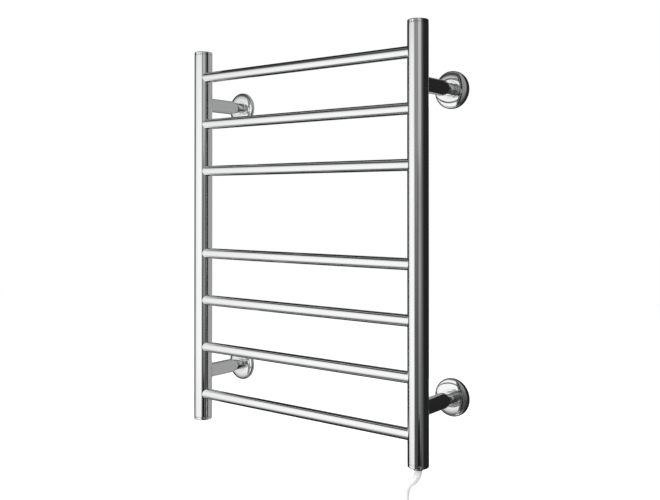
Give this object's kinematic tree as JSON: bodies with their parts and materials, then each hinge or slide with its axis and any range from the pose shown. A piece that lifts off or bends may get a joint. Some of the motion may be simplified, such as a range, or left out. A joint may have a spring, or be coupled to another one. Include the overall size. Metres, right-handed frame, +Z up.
{
  "type": "towel warmer rack",
  "caption": "Wall-hung electric towel warmer: round bars in two groups between two polished round uprights, on four stand-off brackets with round covers and a mains lead.",
  "frame": {"origin": "centre of the four wall plates on the wall surface", "axes": "+Z up along the uprights, +Y from the rack into the wall, +X to the right as seen from the front, where the mains lead leaves"},
  "size_m": [0.482, 0.112, 0.8845],
  "materials": {
    "polished_steel": "mirror-polished stainless steel",
    "zinc_steel": "zinc-plated, satin",
    "element_sheath": "heat-tinted sheath",
    "brass": "bright, lightly worn",
    "silicone": "matt moulded silicone",
    "ceramic": "matt ceramic",
    "live_wire": "brown wire insulation",
    "neutral_wire": "blue wire insulation",
    "earth_wire": "green and yellow wire insulation",
    "white_pvc": "soft white jacket",
    "tie_plastic": "smooth strap"
  },
  "bodies": {
    "wall_mounts": {"left_top_post": "polished_steel", "left_top_plate": "zinc_steel", "left_top_post_screw": "zinc_steel", "right_top_post": "polished_steel", "right_top_plate": "zinc_steel", "right_top_post_screw": "zinc_steel", "left_bottom_post": "polished_steel", "left_bottom_plate": "zinc_steel", "left_bottom_post_screw": "zinc_steel", "right_bottom_post": "polished_steel", "right_bottom_plate": "zinc_steel", "right_bottom_post_screw": "zinc_steel"},
    "rack": {"left_upright": "polished_steel", "right_upright": "polished_steel", "bar_1": "polished_steel", "bar_2": "polished_steel", "bar_3": "polished_steel", "bar_4": "polished_steel", "bar_5": "polished_steel", "bar_6": "polished_steel", "bar_7": "polished_steel", "left_top_cap": "polished_steel", "right_top_cap": "polished_steel", "left_bottom_cap": "polished_steel", "right_bottom_cap": "polished_steel", "left_top_sleeve": "polished_steel", "left_top_grub_screw": "zinc_steel", "right_top_sleeve": "polished_steel", "right_top_grub_screw": "zinc_steel", "left_bottom_sleeve": "polished_steel", "left_bottom_grub_screw": "zinc_steel", "right_bottom_sleeve": "polished_steel", "right_bottom_grub_screw": "zinc_steel", "heating_element": "element_sheath", "element_plug": "silicone", "element_spacer_1": "silicone", "element_spacer_2": "silicone", "thermal_cutout": "ceramic", "live_wire_lower": "live_wire", "live_wire_upper": "live_wire", "neutral_wire": "neutral_wire", "earth_wire": "earth_wire", "earth_tag": "brass", "cable_gland": "polished_steel", "gland_locknut": "zinc_steel", "strain_relief": "white_pvc", "cord": "white_pvc", "cord_hank": "white_pvc", "cord_tie": "tie_plastic", "plug_body": "white_pvc", "plug_pin_earth": "brass", "plug_pin_live": "brass", "plug_pin_neutral": "brass"},
    "cover_left_top": {"left_top_cover": "polished_steel"},
    "cover_right_top": {"right_top_cover": "polished_steel"},
    "cover_left_bottom": {"left_bottom_cover": "polished_steel"},
    "cover_right_bottom": {"right_bottom_cover": "polished_steel"}
  },
  "joints": [
    {"name": "rack_pull_off", "type": "slide", "parent": "wall_mounts", "child": "rack", "axis": [0, -1, 0], "range_m": [0, 0.028]},
    {"name": "left_top_cover_slide", "type": "slide", "parent": "wall_mounts", "child": "cover_left_top", "axis": [0, -1, 0], "range_m": [0, 0.019]},
    {"name": "right_top_cover_slide", "type": "slide", "parent": "wall_mounts", "child": "cover_right_top", "axis": [0, -1, 0], "range_m": [0, 0.019]},
    {"name": "left_bottom_cover_slide", "type": "slide", "parent": "wall_mounts", "child": "cover_left_bottom", "axis": [0, -1, 0], "range_m": [0, 0.019]},
    {"name": "right_bottom_cover_slide", "type": "slide", "parent": "wall_mounts", "child": "cover_right_bottom", "axis": [0, -1, 0], "range_m": [0, 0.019]}
  ]
}
